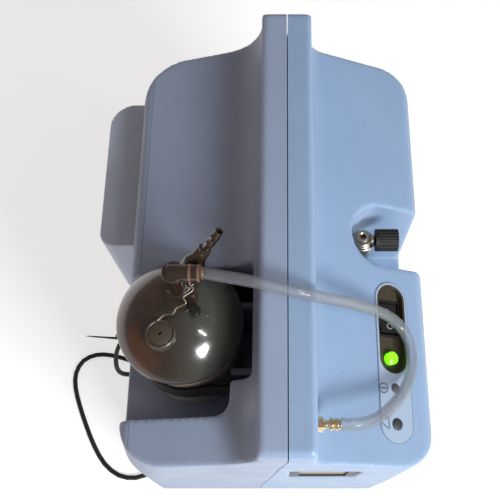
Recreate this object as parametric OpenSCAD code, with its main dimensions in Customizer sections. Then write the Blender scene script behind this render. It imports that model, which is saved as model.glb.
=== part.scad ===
// Stationary oxygen concentrator with a strapped bottle in its rear bay, the gas
// source of a veterinary anaesthesia circuit. Millimetres, +Z up, +Y to the back,
// X across the width, origin on the floor under the middle of the body.

/* [Body] */
// Width of the body, side to side
body_w = 358; // [354:1:362]
// Height of the carrying ridge above the floor
ridge_z = 528; // [526:1:530]
// Thickness of the moulded shell walls
wall = 3; // [2.5:0.5:3]
// Width of the gap between the front and rear shells
seam_gap = 0.8; // [0.4:0.1:1.2]

/* [Control panel] */
// Slope of the control panel, in degrees
panel_tilt = 23.5; // [23:0.1:24]

/* [Bottle] */
// Outside radius of the jar
jar_r = 42.5; // [41.5:0.5:43]
// Height of the shelf that the jar stands on
shelf_z = 354; // [352:1:356]
// Height of the lid's apex above the floor
lid_apex_z = 508; // [507:1:509]

/* [Casters] */
// Wheel radius
wheel_r = 22; // [20:1:22]
// Trail of the axle behind the swivel
caster_trail = 16; // [12:1:16]

/* [Hidden] */

$fn = 48;
hull_fn = 32;
half_w = body_w / 2;
shell_z = 50;
sky = 620;

// ---- Outlines -------------------------------------------------------------

function unit(v) = v / norm(v);
function turn(u, w) = u.x * w.y - u.y * w.x;
function wrap(a) = a > 180 ? a - 360 : a < -180 ? a + 360 : a;

// Arc that rounds the corner b of the path a, b, c with radius r.
function corner_arc(a, b, c, r, n) =
    let(u = unit(a - b), w = unit(c - b), half = acos(u * w) / 2)
    let(centre = b + unit(u + w) * r / sin(half), reach = r / tan(half))
    let(from = b + u * reach - centre, to = b + w * reach - centre)
    let(start = atan2(from.y, from.x), sweep = wrap(atan2(to.y, to.x) - start))
    [for (i = [0:n]) centre + r * [cos(start + sweep * i / n), sin(start + sweep * i / n)]];

// Outline from corners [x, y, radius], listed anticlockwise.
function rounded(corners, n = 6) =
    let(count = len(corners), at = [for (c = corners) [c.x, c.y]])
    [for (i = [0:count - 1])
        let(before = at[(i + count - 1) % count], after = at[(i + 1) % count])
        each corners[i].z > 0
            ? corner_arc(before, at[i], after, corners[i].z, n) : [at[i]]];

// The same corners moved inwards by d, with their radii to suit.
function inset(corners, d) =
    let(count = len(corners), at = [for (c = corners) [c.x, c.y]])
    [for (i = [0:count - 1])
        let(u = unit(at[i] - at[(i + count - 1) % count]))
        let(w = unit(at[(i + 1) % count] - at[i]))
        let(mitre = ([-u.y, u.x] + [-w.y, w.x]) / (1 + u * w))
        let(grow = turn(u, w) > 0 ? -d : d, r = corners[i].z)
        [at[i].x + d * mitre.x, at[i].y + d * mitre.y, r > 0 ? max(r + grow, 0) : 0]];

module along_x(width) { rotate([90, 0, 90]) linear_extrude(width, center = true) children(); }
module along_y(depth) { rotate([90, 0, 0]) linear_extrude(depth, center = true) children(); }
module box(low, high) { translate(low) cube(high - low); }
module pill(length, width, height) {
    linear_extrude(height) {
        square([length - width, width], center = true);
        for (side = [-1, 1]) translate([side * (length - width) / 2, 0]) circle(d = width);
    }
}
module ring(outer, inner, height) {
    difference() {
        cylinder(r = outer, h = height);
        translate([0, 0, -1]) cylinder(r = inner, h = height + 2);
    }
}

// ---- Tubes and cords ------------------------------------------------------

// Smooth curve through hand-chosen points: each span gains its middle point.
function middle(a, b, c, d) = (9 * (b + c) - a - d) / 16;
function smooth(points) =
    let(last = len(points) - 1)
    [for (i = [0:last - 1]) each
        [points[i], middle(points[max(i - 1, 0)], points[i], points[i + 1],
                           points[min(i + 2, last)])],
     points[last]];

function heading(points, i) =
    unit(points[min(i + 1, len(points) - 1)] - points[max(i - 1, 0)]);

// Rings of the swept tube, each square to the route.
function tube_ring(centre, ahead, r, sides) =
    let(across = unit(cross(ahead, [0, 0, 1])), up = cross(across, ahead))
    [for (k = [0:sides - 1])
        centre + r * (cos(360 * k / sides) * across + sin(360 * k / sides) * up)];

module swept_tube(points, r, sides) {
    rings = len(points);
    skin = [for (i = [0:rings - 1]) each tube_ring(points[i], heading(points, i), r, sides)];
    sides_faces = [for (i = [0:rings - 2], k = [0:sides - 1])
        let(a = i * sides + k, b = i * sides + (k + 1) % sides)
        each [[a, b, b + sides], [a, b + sides, a + sides]]];
    start_cap = [for (k = [sides - 1:-1:0]) k];
    end_cap = [for (k = [0:sides - 1]) (rings - 1) * sides + k];
    polyhedron(points = skin, faces = concat(sides_faces, [start_cap, end_cap]), convexity = 8);
}

// ---- Body shells ----------------------------------------------------------

ridge_front_y = -48;
ridge_back_y = -7;
shelf_back_y = 117;
shoulder = [101, 451.5];
panel_foot_z = 438.5;
panel_top_z = panel_foot_z + (142 + ridge_front_y) * tan(panel_tilt);
rear_slope_top_z = 484;
corner_front_r = 30;
corner_rear_r = 36;
corner_ease = 0.3;
rear_lean = atan((shelf_back_y - shoulder.x) / (shoulder.y - shelf_z));
foot_lean = atan((138 - shelf_back_y) / (shelf_z - shell_z));

// Side view of the body, as [y, z, radius].
function side_corners(bottom) =
    [[-138, bottom, 0], [138, bottom, 0], [shelf_back_y, shelf_z, 0],
     [shoulder.x, shoulder.y, 14], [ridge_back_y, rear_slope_top_z, 44],
     [ridge_back_y, ridge_z, 4], [ridge_front_y, ridge_z, 3],
     [ridge_front_y, panel_top_z, 20], [-142, panel_foot_z, 16]];

// Front view of the body, as [x, z, radius].
function face_corners(bottom) =
    [[-half_w + 9, bottom, 0], [half_w - 9, bottom, 0], [half_w, 400, 0],
     [half_w, ridge_z, 5], [-half_w, ridge_z, 5], [-half_w, 400, 0]];

front_plan = [[-half_w, -142, corner_front_r], [half_w, -142, corner_front_r],
              [half_w, 400, 0], [-half_w, 400, 0]];
rear_plan = [[-half_w, -400, 0], [half_w, -400, 0],
             [half_w, 0, corner_rear_r], [-half_w, 0, corner_rear_r]];

// Prism with the back's rounded corners, leaning forwards.
module rounded_back(lean, d) {
    translate([0, shelf_back_y + corner_ease, shelf_z]) rotate([lean, 0, 0])
        linear_extrude(1000, center = true) polygon(rounded(inset(rear_plan, d), 8));
}

// The body's outside when d is 0, and its hollow when d is the wall.
module body_solid(d, bottom) {
    intersection() {
        along_x(body_w + 40) polygon(rounded(inset(side_corners(bottom), d)));
        along_y(700) polygon(rounded(inset(face_corners(bottom), d)));
        linear_extrude(sky) polygon(rounded(inset(front_plan, d), 8));
        rounded_back(rear_lean, d);
        rounded_back(foot_lean, d);
    }
}

// Side view of the parting line between the shells.
seam_line = [[-28, sky], [-28, 500], [-21, 442], [-2, 180], [8, 0]];
module behind_seam(shift) {
    along_x(body_w + 60)
        polygon(concat([for (p = seam_line) p + [shift, 0]], [[300, 0], [300, sky]]));
}

// Flowmeter notch in the front shell, grown outwards by d.
notch_x = 9;
notch_r = 27;
notch_y = -108.5;
notch_z = 333;
module notch(d) {
    translate([notch_x, notch_y, notch_z - d]) cylinder(r = notch_r + d, h = sky);
    box([notch_x - notch_r - d, -200, notch_z - d], [notch_x + notch_r + d, notch_y, sky]);
}

// Bottle bay in the rear shell, grown outwards by d.
jar_x = -73;
jar_y = 54;
bay_r = 46;
bay_side_x = -143;
bay_inner_y = 15;
recess_y = -2;
recess_side_x = -118;
recess_far_x = -30;
bay_corners = [[jar_x + bay_r, 200, 0], [bay_side_x, 200, 0], [bay_side_x, bay_inner_y, 12],
               [recess_side_x, bay_inner_y, 0], [recess_side_x, recess_y, 2],
               [recess_far_x, recess_y, 2], [jar_x + bay_r, bay_inner_y + 12, 0]];
module bay(d) {
    translate([0, 0, shelf_z - d]) linear_extrude(sky)
        polygon(rounded(inset(bay_corners, -d)));
}

// Places its children on the control panel: X across, Y up the slope, Z outwards.
panel_y = -111.6;
panel_z = panel_foot_z + (142 + panel_y) * tan(panel_tilt);
module on_panel(x) {
    translate([x, panel_y, panel_z]) rotate([panel_tilt, 0, 0]) children();
}

plate_x = -96.8;
plate_size = [129.2, 29];
well_x = -70.8;
well_size = [73.2, 25];
reset_x = -118.8;
mute_x = -146.3;
reset_r = 3.4;
mute_r = 4.25;
button_clearance = 0.35;

// Window for the filter in the near side.
filter_low = [-30, 339];
filter_high = [-87, 422];
filter_depth = 14;
module filter_pocket(d) {
    box([-half_w - 5, filter_high.x - d, filter_low.y - d],
        [-half_w + filter_depth + d, filter_low.x + d, filter_high.y + d]);
}

module front_shell() color([0.55, 0.66, 0.80]) {
    difference() {
        body_solid(0, shell_z);
        difference() {
            body_solid(wall, shell_z - 10);
            notch(wall);
            filter_pocket(wall);
        }
        notch(0);
        filter_pocket(0);
        box([-half_w - 1, filter_high.x + 10, filter_low.y + 10],
            [-half_w + 30, filter_low.x - 10, filter_high.y - 10]);
        behind_seam(-seam_gap / 2);
        on_panel(well_x) translate([0, 0, -20]) pill(well_size.x, well_size.y, 40);
        on_panel(reset_x) translate([0, 0, -20])
            cylinder(r = reset_r + button_clearance, h = 40);
        on_panel(mute_x) translate([0, 0, -20])
            cylinder(r = mute_r + button_clearance, h = 40);
        translate([outlet_x, 0, outlet_z]) rotate([90, 0, 0]) cylinder(r = 4.2, h = 80);
    }
}

cover_low_x = 18;
cover_high_x = 166;
cover_low_z = 90;
cover_high_z = 408;
cover_back_y = 142;
cover_gap = 0.6;

gland_x = -30;
gland_z = 76;

module rear_shell() color([0.52, 0.60, 0.74]) {
    difference() {
        body_solid(0, shell_z);
        difference() {
            body_solid(wall, shell_z - 10);
            bay(wall);
        }
        bay(0);
        along_x(body_w + 60)
            polygon(concat([for (p = seam_line) p + [seam_gap / 2, 0]], [[-300, 0], [-300, sky]]));
        // Exhaust window behind the rear cover
        box([cover_low_x + 30, 80, 140], [cover_high_x - 30, 160, 350]);
        translate([gland_x, 150, gland_z]) rotate([90, 0, 0]) cylinder(r = 8.1, h = 40);
    }
    // Cradle ribs, from the bay's inner wall to the jar
    for (x = [rib_near_x, rib_far_x])
        box([x - 3, recess_y - 0.5, shelf_z - 1], [x + 3, rib_end_y, rib_top_z]);
}
rib_near_x = -101;
rib_far_x = -44.5;
rib_end_y = 19;
rib_top_z = 430;

pan_z = 60;
pan_t = 3;
caster_x = 125;
caster_front_y = -92;
caster_rear_y = 90;
stem_r = 5.5;
stem_clearance = 0.05;
stem_top_z = 76;
boss_top_z = 81;
module caster_places() {
    for (x = [-caster_x, caster_x], y = [caster_front_y, caster_rear_y])
        translate([x, y, 0]) children();
}

module base_pan() color([0.20, 0.21, 0.23]) {
    difference() {
        union() {
            intersection() {
                body_solid(wall + 0.4, shell_z - 10);
                box([-200, -200, pan_z - 8], [200, 200, pan_z + pan_t]);
            }
            caster_places() translate([0, 0, 54]) cylinder(r = 12, h = boss_top_z - 54);
        }
        intersection() {
            body_solid(wall + 3.4, shell_z - 20);
            difference() {
                box([-200, -200, pan_z - 20], [200, 200, pan_z]);
                caster_places() cylinder(r = 12, h = 70);
            }
        }
        caster_places() cylinder(r = stem_r + stem_clearance, h = 70 + 7);
        for (i = [-3:3]) box([-110 + i * 8 - 2, -40, 40], [-110 + i * 8 + 2, 20, 70]);
    }
}

// Hollow duct cover on the back, with rounded rear edges and open towards the shell.
cover_plan = [[cover_low_x, 60, 0], [cover_high_x, 60, 0], [cover_high_x, cover_back_y, 25],
              [cover_low_x, cover_back_y, 13]];
module rear_cover() color([0.50, 0.54, 0.62]) {
    difference() {
        translate([0, 0, cover_low_z]) linear_extrude(cover_high_z - cover_low_z)
            polygon(rounded(cover_plan));
        translate([0, 0, cover_low_z - 1]) linear_extrude(cover_high_z - cover_low_z + 1 - wall)
            polygon(rounded(inset(cover_plan, wall)));
        box([-200, 0, 0], [200, 90, sky]);
        body_solid(-cover_gap, shell_z - 10);
    }
}

// Screws through the base pan: heads below it, threaded ends above it.
module base_screws() color([0.55, 0.55, 0.56]) {
    for (x = [-60, 60], y = [-115, 112]) translate([x, y, 0]) {
        translate([0, 0, pan_z - 2.4]) cylinder(r = 3.4, h = 2.4);
        translate([0, 0, pan_z + pan_t]) cylinder(r = 1.6, h = 8);
    }
}

module filter_frame() color([0.28, 0.29, 0.31]) {
    gap = 0.4;
    difference() {
        box([-half_w + 2.6, filter_high.x + gap, filter_low.y + gap],
            [-half_w + 12, filter_low.x - gap, filter_high.y - gap]);
        box([-half_w + 1, filter_high.x + 8, filter_low.y + 8],
            [-half_w + 20, filter_low.x - 8, filter_high.y - 8]);
    }
}
module filter_foam() color([0.80, 0.76, 0.68]) {
    box([-half_w + 4.5, filter_high.x + 8, filter_low.y + 8],
        [-half_w + 11, filter_low.x - 8, filter_high.y - 8]);
}

// ---- Control panel --------------------------------------------------------

plate_t = 0.8;
well_floor = -7;
well_wall = 1.2;
housing_size = [28, 20];
housing_x = 8.8;
lamp_x = -23.8;

module control_plate() color([0.62, 0.69, 0.78]) on_panel(plate_x) difference() {
    pill(plate_size.x, plate_size.y, plate_t);
    translate([well_x - plate_x, 0, -1]) pill(well_size.x, well_size.y, 4);
    translate([reset_x - plate_x, 0, -1]) cylinder(r = reset_r + button_clearance, h = 4);
    translate([mute_x - plate_x, 0, -1]) cylinder(r = mute_r + button_clearance, h = 4);
}

module switch_well() color([0.24, 0.21, 0.18]) on_panel(well_x) difference() {
    translate([0, 0, well_floor]) pill(well_size.x - 0.3, well_size.y - 0.3, -well_floor);
    translate([0, 0, well_floor + 1.5])
        pill(well_size.x - 2 * well_wall, well_size.y - 2 * well_wall, 20);
    translate([housing_x, 0, well_floor])
        cube([housing_size.x + 0.4, housing_size.y + 0.4, 10], center = true);
}

rocker_size = [25, 17.2];
module switch_housing() color([0.07, 0.07, 0.07]) on_panel(well_x + housing_x) difference() {
    union() {
        translate([0, 0, well_floor + 1.5 + 0.75]) cube([30, 22, 1.5], center = true);
        translate([0, 0, -13]) cube([housing_size.x, housing_size.y, 20], center = true);
    }
    translate([0, 0, -10.5]) cube([26.6, 18.2, 22], center = true);
}

rocker_pivot = -8;
rocker_rest = 8;
module rocker() color([0.10, 0.10, 0.10]) on_panel(well_x + housing_x)
    translate([0, 0, rocker_pivot]) rotate([0, rocker_rest, 0]) rotate([90, 0, 0])
        linear_extrude(rocker_size.y, center = true)
            polygon([[-rocker_size.x / 2, 4.6], [-rocker_size.x / 2, 0], [-5, -5.5], [5, -5.5],
                     [rocker_size.x / 2, 0], [rocker_size.x / 2, 4.6], [0, 3.4]]);

module power_lamp() color([0.35, 0.95, 0.15]) on_panel(well_x + lamp_x) {
    translate([0, 0, well_floor + 1.5]) cylinder(r = 5, h = 4.5);
    translate([0, 0, -1]) intersection() {
        translate([0, 0, -7.5]) sphere(r = 9);
        cylinder(r = 5, h = 4);
    }
}

module panel_button(r, crown) {
    translate([0, 0, -11]) cylinder(r = r, h = 12);
    translate([0, 0, 1]) intersection() {
        translate([0, 0, crown - 3 * r]) sphere(r = 3 * r);
        cylinder(r = r, h = 4);
    }
    translate([0, 0, -7]) cylinder(r = r + 1.8, h = 2);
}
module reset_button() color([0.45, 0.44, 0.44]) on_panel(reset_x) panel_button(reset_r, 1.0);
module mute_button() color([0.25, 0.24, 0.23]) on_panel(mute_x) panel_button(mute_r, 1.2);

// ---- Flowmeter ------------------------------------------------------------

meter_x = 9;
meter_y = -92;
meter_r = 9;
head_r = 10;
meter_bore_r = 5.5;
meter_base_z = 345;
meter_top_z = 434;
head_top_z = 452;
knob_z = 443;
stem_hole_r = 2.05;

module flowmeter_tube() color([0.80, 0.84, 0.86, 0.5]) translate([meter_x, meter_y, 0])
    difference() {
        union() {
            translate([0, 0, notch_z]) cylinder(r = head_r, h = meter_base_z - notch_z);
            translate([0, 0, meter_base_z]) cylinder(r = meter_r, h = meter_top_z - meter_base_z);
        }
        translate([0, 0, meter_base_z + 4]) cylinder(r = meter_bore_r, h = 100);
    }

module flowmeter_head() color([0.72, 0.68, 0.60]) difference() {
    translate([meter_x, meter_y, 0]) {
        translate([0, 0, meter_top_z]) cylinder(r = head_r, h = 13);
        translate([0, 0, meter_top_z + 13]) cylinder(r = 8, h = head_top_z - meter_top_z - 15);
        translate([0, 0, head_top_z - 2]) cylinder(r = 5.5, h = 2);
    }
    translate([meter_x, meter_y, head_top_z - 8]) cylinder(r = port_r, h = 10);
    translate([meter_x, meter_y - 4, knob_z]) rotate([90, 0, 0])
        cylinder(r = stem_hole_r, h = 40);
}
port_r = 2.2;

module flowmeter_float() color([0.85, 0.10, 0.10])
    translate([meter_x, meter_y, meter_base_z + 4 + 4.7]) sphere(r = 4.6);

module flowmeter_knob() color([0.09, 0.08, 0.07]) translate([meter_x, meter_y, knob_z]) {
    difference() {
        translate([0, -11, 0]) rotate([90, 0, 0]) cylinder(r = 9.5, h = 19);
        for (i = [0:23]) rotate([0, 15 * i, 0]) translate([0, -14, 10])
            rotate([90, 0, 0]) cylinder(r = 0.9, h = 30, $fn = 16);
    }
    translate([0, -5, 0]) rotate([90, 0, 0]) cylinder(r = 2, h = 8);
}

// ---- Gas outlet, tube and bottle ------------------------------------------

outlet_x = -153;
outlet_z = 500;
module outlet_fitting() color([0.78, 0.66, 0.45]) translate([outlet_x, ridge_front_y, outlet_z])
    rotate([90, 0, 0]) {
        translate([0, 0, -12]) cylinder(r = 4, h = 12);
        translate([0, 0, -9]) cylinder(r = 7, h = 4, $fn = 6);
        cylinder(r = 5.6, h = 4.5, $fn = 6);
        rotate_extrude() polygon([[0, 4.5], [4.4, 4.5], [2.6, 7], [2.6, 8.5], [4.6, 9], [4.6, 11],
                                  [3.6, 11.4], [3.6, 12.5], [4.4, 13], [4.4, 15], [3.5, 15.4],
                                  [3.5, 17], [0, 17]]);
    }

// Route of the clear tube, from the outlet over the ridge to the lid's nipple.
gas_route = [[-153, -65, 500], [-153, -74, 499.5], [-151.5, -82.5, 497], [-148, -91, 491.5],
             [-142, -99, 484], [-134.5, -107, 475.5], [-125.5, -114.5, 467.5],
             [-115, -120.5, 460.5], [-104, -124.5, 455.5], [-93, -126, 453],
             [-82.5, -124.5, 453.5], [-73.5, -119.5, 457.5], [-67.5, -112, 464],
             [-64.5, -102.5, 472.5], [-64, -92.5, 482.5], [-65, -82.5, 493.5], [-66, -72, 506.5],
             [-68, -61, 519.5], [-69.5, -50.5, 531], [-69, -38, 538.5], [-66.5, -23, 541.5],
             [-62.5, -7, 541.5], [-58, 11, 538.5], [-53, 30.5, 534]];
gas_r = 4.5;
module gas_tube() color([0.85, 0.87, 0.88, 0.45]) swept_tube(smooth(gas_route), gas_r, 10);

neck_z = 470;
module jar() color([0.82, 0.80, 0.74, 0.6]) translate([jar_x, jar_y, 0]) difference() {
    translate([0, 0, shelf_z]) cylinder(r = jar_r, h = neck_z - shelf_z, $fn = 96);
    translate([0, 0, shelf_z + 2.5]) cylinder(r = jar_r - 2.2, h = 200, $fn = 96);
}

lid_r = 48.5;
lid_rim_z = 482;
dome_h = lid_apex_z - lid_rim_z;
dome_r = (lid_r * lid_r + dome_h * dome_h) / (2 * dome_h);
module jar_lid() color([0.12, 0.10, 0.08]) translate([jar_x, jar_y, 0]) difference() {
    union() {
        translate([0, 0, neck_z]) cylinder(r = lid_r - 1.5, h = 8, $fn = 96);
        translate([0, 0, neck_z + 8]) cylinder(r = lid_r, h = lid_rim_z - neck_z - 8, $fn = 96);
        intersection() {
            translate([0, 0, lid_apex_z - dome_r]) sphere(r = dome_r, $fn = 96);
            translate([0, 0, lid_rim_z]) cylinder(r = lid_r, h = 40, $fn = 96);
        }
    }
    translate([0, 0, neck_z - 1]) cylinder(r = jar_r - 2.2, h = 12, $fn = 96);
    intersection() {
        translate([0, 0, lid_apex_z - dome_r]) sphere(r = dome_r - 3, $fn = 96);
        translate([0, 0, neck_z]) cylinder(r = jar_r - 2.2, h = 60, $fn = 96);
    }
    translate([dip_at.x - jar_x, dip_at.y - jar_y, 400]) cylinder(r = 3.2, h = 200);
    translate([wing_at.x - jar_x, wing_at.y - jar_y, 503]) cylinder(r = 1.65, h = 10);
}
dip_at = [-60, 49];

module clamp_ring() color([0.75, 0.74, 0.70])
    translate([jar_x, jar_y, neck_z - 5]) ring(jar_r + 2.6, jar_r + 0.05, 5);

nipple_x = -53;
tower_y = 53;
nipple_z = 534;
module valve_block() color([0.20, 0.14, 0.09]) difference() {
    union() {
        hull() {
            translate([-62, 50, 498]) cylinder(r = 12, h = 12, $fn = hull_fn);
            translate([-47, 47, 498]) cylinder(r = 9.5, h = 15, $fn = hull_fn);
        }
        translate([nipple_x, tower_y, 508]) cylinder(r = 8.5, h = 30);
    }
    translate([jar_x, jar_y, lid_apex_z - dome_r]) sphere(r = dome_r + 0.02, $fn = 96);
    translate([dip_at.x, dip_at.y, 480]) cylinder(r = 3.2, h = 22);
    translate([nipple_x, tower_y - 7, nipple_z]) rotate([90, 0, 0]) cylinder(r = 4.6, h = 4);
    translate(spigot_base) rotate(spigot_turn) cylinder(r = spigot_base_r, h = 23);
}

// Barbed nipple that the clear tube is pushed on to, pointing at the ridge.
module inlet_nipple() color([0.55, 0.38, 0.28]) translate([nipple_x, tower_y - 7, nipple_z])
    rotate([90, 0, 0]) {
        cylinder(r = 4.6, h = 4);
        translate([0, 0, 4]) cylinder(r = 5.6, h = 6);
        translate([0, 0, 10]) cylinder(r = 6.4, h = 5.5);
    }

// Hose spigot that feeds the breathing circuit.
spigot_base = [-45.5, 48.4, 510.4];
spigot_turn = [37, 0, 29];
module outlet_spigot() color([0.30, 0.24, 0.18]) translate(spigot_base) rotate(spigot_turn)
    difference() {
        rotate_extrude() polygon([[0, 0], [spigot_base_r, 0], [spigot_base_r, 23], [5, 23],
                                  [5, 33], [spigot_r, 35], [spigot_r, 35 + spigot_length],
                                  [spigot_r - 0.6, 35.6 + spigot_length],
                                  [0, 35.6 + spigot_length]]);
        translate([0, 0, 12]) cylinder(r = 2, h = 60);
    }
spigot_base_r = 8;
spigot_r = 3.3;
spigot_length = 19.4;

module relief_valve() color([0.20, 0.15, 0.10]) difference() {
    translate([-90, 64, 488]) cylinder(r = 11, h = 22);
    translate([jar_x, jar_y, lid_apex_z - dome_r]) sphere(r = dome_r + 0.02, $fn = 96);
    translate([-90, 64, 508.8]) ring(9.6, 8.8, 3);
    translate([-90, 64, 506]) cylinder(r = 1, h = 10);
}

// Wing that turns on a short post beside the valve block.
wing_at = [-74, 38.5];
module wing_lever() color([0.12, 0.11, 0.10]) translate([wing_at.x, wing_at.y, 0]) {
    translate([0, 0, 509.5]) cylinder(r = 3.4, h = 7);
    translate([0, 0, 512.6]) rotate([0, 0, -60]) linear_extrude(3)
        polygon([[-2.6, 0], [-1, 10.5], [1, 10.5], [2.6, 0]]);
    translate([0, 0, 503.5]) cylinder(r = 1.6, h = 6.5);
}

clip_route = [[-53, 38, 523], [-57, 43, 523], [-61, 40, 521], [-66, 47, 520], [-70, 45, 518],
              [-73, 52, 516], [-77, 55, 514], [-77, 61, 512], [-81, 66, 511]];
module wire_clip() color([0.75, 0.75, 0.74]) swept_tube(smooth(clip_route), 0.8, 8);

module dip_tube() color([0.80, 0.80, 0.78, 0.6]) translate([dip_at.x, dip_at.y, 368])
    ring(3, 2, 501.5 - 368);

module diffuser() color([0.70, 0.70, 0.68]) translate([dip_at.x, dip_at.y, 357.5])
    cylinder(r = 8, h = 10.5);

// Hook-and-loop strap: round the jar's outer side and straight into the cradle.
strap_low_z = 406;
strap_high_z = 440;
strap_t = 2.4;
strap_end_y = 1;
module jar_strap() color([0.05, 0.05, 0.05]) translate([0, 0, strap_low_z])
    linear_extrude(strap_high_z - strap_low_z) difference() {
        union() {
            translate([jar_x, jar_y]) circle(r = jar_r + 0.3 + strap_t, $fn = 96);
            polygon([[jar_x - 38 - 2.5, strap_end_y], [jar_x + 38 + 2.5, strap_end_y],
                     [jar_x + jar_r + 2.6, jar_y], [jar_x - jar_r - 2.6, jar_y]]);
        }
        translate([jar_x, jar_y]) circle(r = jar_r + 0.3, $fn = 96);
        polygon([[jar_x - 38, strap_end_y - 1], [jar_x + 38, strap_end_y - 1],
                 [jar_x + jar_r + 0.2, jar_y], [jar_x - jar_r - 0.2, jar_y]]);
    }

// Loose end of the strap where it is doubled back behind the jar.
module strap_tail() color([0.06, 0.06, 0.06]) {
    box([-84, 99.3, 408], [-66, 102.5, 438]);
    box([-79, 102.5, 412], [-70, 113, 434]);
    translate([-73, 113, 424]) rotate([-90, 0, 0]) cylinder(r = 0.7, h = 27);
}

// ---- Inside: compressor, sieves, tank, valves, fan -------------------------

motor_x = -35;
motor_y = 20;
motor_z = 150;
module compressor_body() color([0.62, 0.63, 0.64]) {
    translate([motor_x - 55, motor_y, motor_z]) rotate([0, 90, 0]) cylinder(r = 42, h = 110);
    box([motor_x - 62, motor_y - 38, 92], [motor_x + 62, motor_y + 38, 98]);
    for (x = [-45, 39]) box([motor_x + x, motor_y - 20, 98], [motor_x + x + 6, motor_y + 20, 120]);
}
module compressor_heads() color([0.70, 0.70, 0.72]) {
    for (side = [-1, 1]) translate([motor_x + side * 40, motor_y, 0]) {
        translate([0, 0, motor_z + 42]) cylinder(r = 20, h = 27);
        for (i = [0:4]) translate([0, 0, motor_z + 44 + 5 * i]) cylinder(r = 26, h = 2);
        translate([-24, -24, motor_z + 69]) cube([48, 48, 12]);
    }
}
module compressor_mounts() color([0.10, 0.10, 0.10]) {
    for (x = [-54, 54], y = [-30, 30]) translate([motor_x + x, motor_y + y, pan_z + pan_t])
        rotate_extrude() polygon([[0, 0], [9, 0], [9, 6], [6, 10], [6, 19], [9, 23], [9, 29],
                                  [0, 29]]);
}

fan_x = -118;
fan_y = -20;
fan_z = 155;
module fan_shroud() color([0.10, 0.10, 0.11]) translate([fan_x, fan_y, fan_z])
    rotate([0, 90, 0]) difference() {
        union() {
            difference() {
                translate([-60, -60, -12]) cube([120, 120, 24]);
                cylinder(r = 56, h = 60, center = true);
            }
            translate([0, 0, -12]) cylinder(r = 22, h = 3);
            for (a = [45, 135]) rotate([0, 0, a]) translate([-3, -58, -11.6]) cube([6, 116, 2.2]);
        }
        cylinder(r = 3.05, h = 60, center = true);
    }
module fan_rotor() color([0.15, 0.15, 0.16]) translate([fan_x, fan_y, fan_z])
    rotate([0, 90, 0]) {
        translate([0, 0, -8.5]) cylinder(r = 21, h = 18);
        translate([0, 0, -12]) cylinder(r = 3, h = 8);
        for (i = [0:6]) rotate([0, 0, i * 360 / 7]) translate([18, 0, 0.5])
            rotate([40, 0, 0]) translate([0, -1, -8]) cube([35, 2, 16]);
    }

sieve_r = 32;
module sieve_bed(x, y) translate([x, y, boss_top_z]) {
    cylinder(r = sieve_r, h = 14);
    translate([0, 0, 14]) cylinder(r = sieve_r - 3, h = 272);
    translate([0, 0, 286]) cylinder(r = sieve_r, h = 14);
}
module sieve_bed_front() color([0.78, 0.79, 0.80]) sieve_bed(125, -85);
module sieve_bed_middle() color([0.78, 0.79, 0.80]) sieve_bed(125, -12);
module product_tank() color([0.85, 0.85, 0.84]) translate([125, 64, boss_top_z]) {
    cylinder(r = 30, h = 210);
    translate([0, 0, 210]) intersection() {
        translate([0, 0, -15]) sphere(r = 33.5);
        cylinder(r = 30, h = 30);
    }
}
module valve_manifold() color([0.60, 0.61, 0.63]) {
    box([105, -105, boss_top_z + 300], [145, 8, boss_top_z + 326]);
    for (y = [-92, -62, -32, -2]) translate([125, y, boss_top_z + 326]) cylinder(r = 9, h = 26);
}
module circuit_board() color([0.10, 0.35, 0.18]) {
    box([-140, -62, 250], [-30, -60.4, 335]);
    box([-130, -60.4, 262], [-112, -46, 290]);
    box([-95, -60.4, 300], [-60, -42, 326]);
    for (x = [-90, -72, -54]) translate([x, -60.4, 275]) rotate([-90, 0, 0])
        cylinder(r = 6, h = 16);
}
coil_turns = 4;
module cooling_coil() color([0.72, 0.45, 0.28]) translate([20, -75, 110]) {
    for (i = [0:coil_turns - 1]) translate([0, 0, i * 14]) rotate_extrude()
        translate([38, 0]) circle(r = 4, $fn = 16);
    translate([38, 0, 0]) cylinder(r = 3.4, h = (coil_turns - 1) * 14);
    translate([-38, 0, 0]) cylinder(r = 3.4, h = 90);
}

// ---- Mains lead -----------------------------------------------------------

cord_r = 3.1;
gland_y = 139;
module cord_gland() color([0.08, 0.08, 0.08]) translate([gland_x, gland_y, gland_z])
    rotate([-90, 0, 0]) {
        translate([0, 0, -10]) cylinder(r = 8, h = 10);
        cylinder(r = 10.5, h = 3);
        translate([0, 0, 3]) cylinder(r1 = 7.5, r2 = cord_r + 0.8, h = 19);
    }

// Route from the gland: down into a small loop on the floor, the wide bend behind the
// body, then between the casters to the coil on the far side.
cord_route = [[-30, 161, 76], [-30, 171, 75.5], [-29, 181.5, 72], [-24.5, 190.5, 64.5],
              [-15, 197.5, 54], [-1, 202, 42.5], [13, 203.5, 31.5], [28, 200.5, 21], [42, 190, 12],
              [51, 174, 5.5], [52.5, 156, 3.2], [43.5, 140, 3.1], [26.5, 131.5, 3.1],
              [8.5, 135.5, 3.1], [-2, 151, 3.1], [-1, 172, 3.1], [6, 195, 3.1], [12, 218, 3.1],
              [12.5, 239, 3.1], [4, 256.5, 3.1], [-13.5, 265, 3.1], [-34, 263.5, 3.1],
              [-58, 255.5, 3.1], [-85, 244, 3.1], [-113, 230, 3.1], [-136, 214, 3.1],
              [-150.5, 194, 3.1], [-153.5, 171, 3.1], [-144.5, 150, 3.1], [-126, 137, 3.1],
              [-100, 125, 3.1], [-66, 106, 3.1], [-30, 82, 3.1], [10, 58, 3.1], [60, 36, 3.1],
              [110, 18, 3.1], [150, 1, 3.1], [190, -18, 3.1], [222, -32, 3.1], [247, -38.5, 3.1]];
coil_at = [254, 0];
coil_mid_r = 36;
coil_layers = 3;
// Short end from the coil down to the plug.
plug_route = [[236, 36, 15.5], [230, 45, 14], [226, 54, 12], [222, 62, 10]];

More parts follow.
